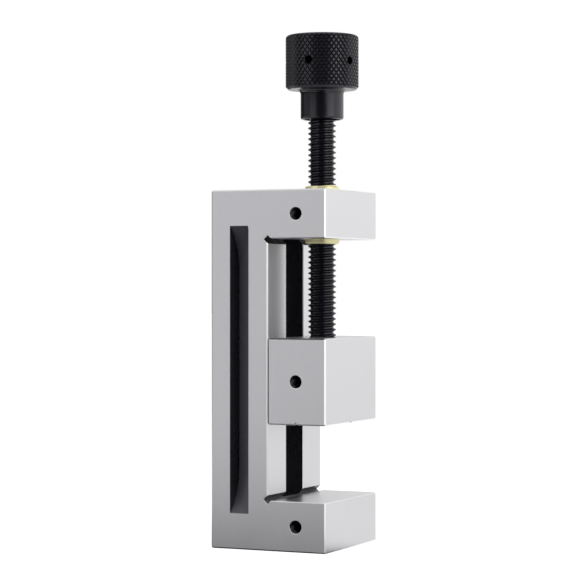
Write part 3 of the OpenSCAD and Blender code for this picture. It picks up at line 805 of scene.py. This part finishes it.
def pin_piece():
    """The cross pin of the knob, with domed ends."""
    low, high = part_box("knob_pin")
    middle = (low + high) / 2
    radius, shoulder, half = 1.5 * MM, 1.1 * MM, 8.35 * MM
    dome = [(0, half), (shoulder, half - 0.1 * MM), (radius, half - 0.4 * MM)]
    profile = [(across, -along) for across, along in dome] + dome[::-1]
    pin = from_bmesh("cross_pin", turned(profile, 48, centre_x=0))
    pin_turn = math.radians(25)
    turn = Matrix.Rotation(pin_turn, 4, "Z") @ Matrix.Rotation(math.radians(90), 4, "Y")
    placed(pin, Matrix.Translation(middle) @ turn)
    return dressed(pin, "hard_steel", "screw", ["knob_pin"])


knob_piece()
lead_screw_piece()
nut_piece()
for node, dog in (("retainer_near", True), ("retainer_far", True),
                  ("nut_lock_near", False), ("nut_lock_far", False)):
    set_screw_piece(node, dog)
for node in ("keeper_screw_low", "keeper_screw_high"):
    keeper_screw_piece(node)
pin_piece()
for label, z, depth, body in (("fixed", FIXED_FACE_Z / 2, 12.5 * MM, "root"),
                              ("block", (BLOCK_Z + BLOCK_HIGH.z) / 2, 10 * MM, "root"),
                              ("jaw", (JAW_LOW.z + JAW_HIGH.z) / 2, 11.5 * MM, "jaw")):
    for side, word in ((-1, "near"), (1, "far")):
        tapped_thread(f"{label}_thread_{word}", side, z, depth, body)
for node in ("keeper_washer_low", "keeper_washer_high", "thrust_button"):
    nodes[node].data.materials.clear()
    nodes[node].data.materials.append(HARD)


# Floor, light and camera. The first three are levels of light in what the metal mirrors: the dark
# room, the floor behind the vise and the ring of floor on its left. Then come the floor's colour and
# how much of it the mirrored floor loses, its own light and how far it lies under the vise.
ROOM_LEVEL = 0.06
FLOOR_BEHIND = 0.8
FLOOR_RING = 0.76
FLOOR_SHADE = 0.4
FLOOR_DIMMED = 0.97
FLOOR_GLOW = 0.85
FLOOR_DROP = 0.02 * MM
TO_FRONT_LEFT = (-0.766, -0.643, 0.0)
TO_LEFT = (-0.866, -0.5, 0.0)

# The soft panels that the metal mirrors: the azimuth of each, the degrees to each side at which it
# is gone and up to which it is full, and its level of light
PANELS = ((25, 85, 22, 1.25), (-150, 42, 6, 0.46), (90, 58, 30, 1.0), (-125, 34, 12, 0.3))

# The lamps, and the camera that was fitted to the corners of the body in the photograph
LAMP_DISTANCE = 1.2
LAMP_SIZE = 0.8
CAMERA_PLACE = (0.36739, -0.79065, 0.10354)
CAMERA_TURN = 25.2176
CAMERA_LENS = 139.33


def white_rays(t, mirrored):
    """1 on the rays that show a surface to the eye: from the camera or passed through, and mirrored,
    a number or a socket, on the ones that a shiny surface sends on."""
    path = t.add("ShaderNodeLightPath")
    straight = t.math("MAXIMUM", path.outputs["Is Camera Ray"], path.outputs["Is Transmission Ray"])
    return t.math("MAXIMUM", straight, t.math("MULTIPLY", path.outputs["Is Glossy Ray"], mirrored))


def ease(t, value, start, end, low, high):
    """A number that eases from low to high while the value goes from start to end."""
    return t.add("ShaderNodeMapRange", {"Value": value, "From Min": start, "From Max": end,
                                        "To Min": low, "To Max": high},
                 interpolation_type="SMOOTHSTEP").outputs[0]


def reach_along(t, place, way):
    """How far a place or a direction goes along this way."""
    return t.add("ShaderNodeVectorMath", {0: place, 1: way}, operation="DOT_PRODUCT").outputs["Value"]


def studio_world():
    """A white studio to the eye. The metal mirrors soft panels on the right, on the left and above,
    and the dark room behind the camera between them."""
    world = bpy.data.worlds.new("studio")
    bpy.context.scene.world = world
    world.use_nodes = True
    t = Tree(world.node_tree)
    shader = world.node_tree.nodes["Background"]
    way = t.add("ShaderNodeTexCoord").outputs["Generated"]
    parts = t.add("ShaderNodeSeparateXYZ", {0: way})

    def lobe(azimuth, wide, narrow, strength):
        """A panel at this azimuth, gone at wide degrees to each side and full up to narrow."""
        toward = (math.cos(math.radians(azimuth)), math.sin(math.radians(azimuth)), 0)
        level = t.add("ShaderNodeVectorMath", {0: way, 1: (1, 1, 0)}, operation="MULTIPLY")
        unit = t.add("ShaderNodeVectorMath", {0: level.outputs[0]}, operation="NORMALIZE")
        return ease(t, reach_along(t, unit.outputs[0], toward), math.cos(math.radians(wide)),
                    math.cos(math.radians(narrow)), 0.0, strength)

    above = ease(t, parts.outputs["Z"], 0.5, 0.95, 0.0, 1.1)
    panels = lobe(*PANELS[0])
    for panel in PANELS[1:]:
        panels = t.math("MAXIMUM", panels, lobe(*panel))
    tall = ease(t, t.math("ABSOLUTE", parts.outputs["Z"]), 0.66, 0.3, 0.0, 1.0)
    panels = t.math("MULTIPLY", panels, tall)
    light = t.math("MAXIMUM", t.math("MAXIMUM", panels, above), ROOM_LEVEL)
    strength = t.math("MAXIMUM", light, white_rays(t, 0.0))
    t.feed(shader, "Color", (1.0, 1.0, 1.0, 1.0))
    t.feed(shader, "Strength", strength)


def studio_floor():
    """A pale floor that is white to the eye and keeps the shadow of the object. The metal mirrors it
    pale behind the vise and in a ring on its left, and dark towards the camera."""
    shape = bmesh.new()
    bmesh.ops.create_grid(shape, x_segments=8, y_segments=8, size=6.0)
    floor = from_bmesh("floor", shape)
    placed(floor, Matrix.Translation((0, 0, BASE_LOW.z - FLOOR_DROP)))
    material = bpy.data.materials.new("studio_floor")
    material.use_nodes = True
    tree = material.node_tree
    tree.nodes.remove(tree.nodes["Principled BSDF"])
    t = Tree(tree)
    place = t.add("ShaderNodeTexCoord").outputs["Object"]
    behind = ease(t, reach_along(t, place, TO_FRONT_LEFT), 0.005, -0.035, 0.0, FLOOR_BEHIND)
    reach = t.add("ShaderNodeVectorMath", {0: place}, operation="LENGTH").outputs["Value"]
    near = ease(t, reach, 0.05, 0.26, 0.0, FLOOR_RING)
    far = ease(t, reach, 0.4, 0.75, FLOOR_RING, 0.0)
    unit = t.add("ShaderNodeVectorMath", {0: place}, operation="NORMALIZE").outputs[0]
    left = ease(t, reach_along(t, unit, TO_LEFT), 0.2, 0.7, 0.0, 1.0)
    pale = t.math("MAXIMUM", behind, t.math("MULTIPLY", t.math("MINIMUM", near, far), left))
    glossy = t.add("ShaderNodeLightPath").outputs["Is Glossy Ray"]
    dimmed = t.math("MULTIPLY", glossy, t.math("SUBTRACT", 1.0, pale))
    kept = t.math("SUBTRACT", 1.0, t.math("MULTIPLY", dimmed, FLOOR_DIMMED))
    shade = t.math("MULTIPLY", FLOOR_SHADE, kept)
    matte = t.add("ShaderNodeBsdfDiffuse", {"Color": shade})
    strength = t.math("MULTIPLY", white_rays(t, pale), FLOOR_GLOW)
    glow = t.add("ShaderNodeEmission", {"Color": (1.0, 1.0, 1.0, 1.0), "Strength": strength})
    both = t.add("ShaderNodeAddShader", {0: matte.outputs[0], 1: glow.outputs[0]})
    t.tree.links.new(both.outputs[0], tree.nodes["Material Output"].inputs["Surface"])
    floor.data.materials.append(material)


def softbox(name, azimuth, elevation, power):
    """A square area lamp that looks at the middle of the vise."""
    lamp = bpy.data.lights.new(name, "AREA")
    lamp.shape = "RECTANGLE"
    lamp.size = lamp.size_y = LAMP_SIZE
    lamp.energy = power
    holder = bpy.data.objects.new(name, lamp)
    bpy.context.scene.collection.objects.link(holder)
    a, e = math.radians(azimuth), math.radians(elevation)
    away = Vector((math.cos(a) * math.cos(e), math.sin(a) * math.cos(e), math.sin(e)))
    holder.location = Vector((0, 0, 0.1)) + away * LAMP_DISTANCE
    holder.rotation_mode = "QUATERNION"
    holder.rotation_quaternion = away.to_track_quat("Z", "Y")


studio_world()
studio_floor()
softbox("key", azimuth=-20, elevation=24, power=2.7)
softbox("fill", azimuth=-115, elevation=24, power=1.9)

camera_data = bpy.data.cameras.new("camera")
camera = bpy.data.objects.new("camera", camera_data)
bpy.context.scene.collection.objects.link(camera)
camera_data.lens = CAMERA_LENS
camera_data.sensor_width = 36.0
camera_data.clip_end = 50.0
camera.location = CAMERA_PLACE
camera.rotation_euler = (math.radians(90), 0, math.radians(CAMERA_TURN))
bpy.context.scene.camera = camera
bpy.context.scene.view_settings.view_transform = "Standard"
